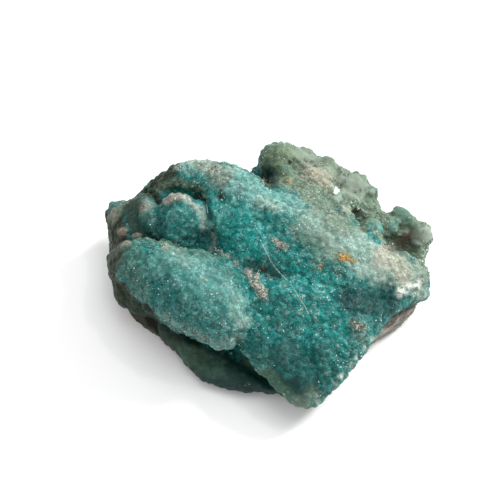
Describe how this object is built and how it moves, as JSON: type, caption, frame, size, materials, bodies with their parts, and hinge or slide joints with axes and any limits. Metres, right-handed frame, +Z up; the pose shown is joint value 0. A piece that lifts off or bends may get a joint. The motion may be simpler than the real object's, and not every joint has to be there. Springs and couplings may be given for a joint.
{
  "type": "hemimorphite specimen",
  "caption": "Botryoidal blue-green mineral crust of rounded lobes and ridges coated in tiny crystals, grown over a broken piece of grey matrix rock with a flat base.",
  "frame": {"origin": "under the middle of the bounding box, on the plane of the flat cut the specimen rests on", "axes": "+X along the longest extent, from the shaded finger lobe towards the broken right end; +Y towards the knobbly back rim; +Z up through the crust"},
  "size_m": [0.059, 0.0518, 0.0209],
  "materials": {
    "hemimorphite": "sugary crystal druse, frosted on the crests",
    "matrix": "dull broken rock"
  },
  "bodies": {
    "root": {"hemimorphite_crust": "hemimorphite", "matrix_rock": "matrix"}
  },
  "joints": []
}
